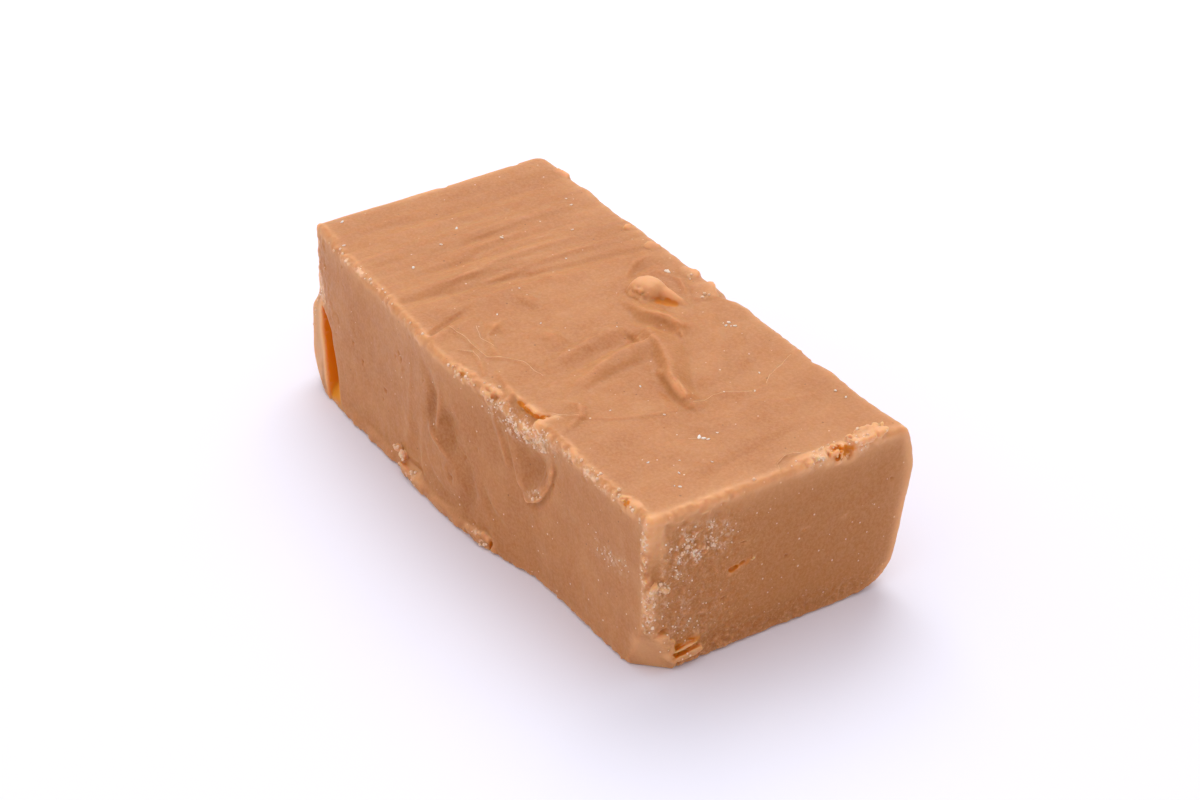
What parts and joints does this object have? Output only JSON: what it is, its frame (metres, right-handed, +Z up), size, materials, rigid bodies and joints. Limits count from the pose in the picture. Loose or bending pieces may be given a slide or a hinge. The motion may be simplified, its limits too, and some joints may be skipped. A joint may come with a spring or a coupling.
{
  "type": "peanut butter fudge bar",
  "caption": "Block of peanut butter fudge cut from the corner of a slab, with swirled top, crumbled cut edges and sides shaped by the pan.",
  "frame": {"origin": "middle of the base of the bar's bounding box", "axes": "+X along the bar towards its cut end, -Y towards its long cut side, +Z up"},
  "size_m": [0.0896, 0.045, 0.0265],
  "materials": {
    "fudge": "smooth, soft and faintly waxy, letting light a little way in, with a fine sugary grain where it is broken"
  },
  "bodies": {
    "root": {"fudge_bar": "fudge"}
  },
  "joints": []
}
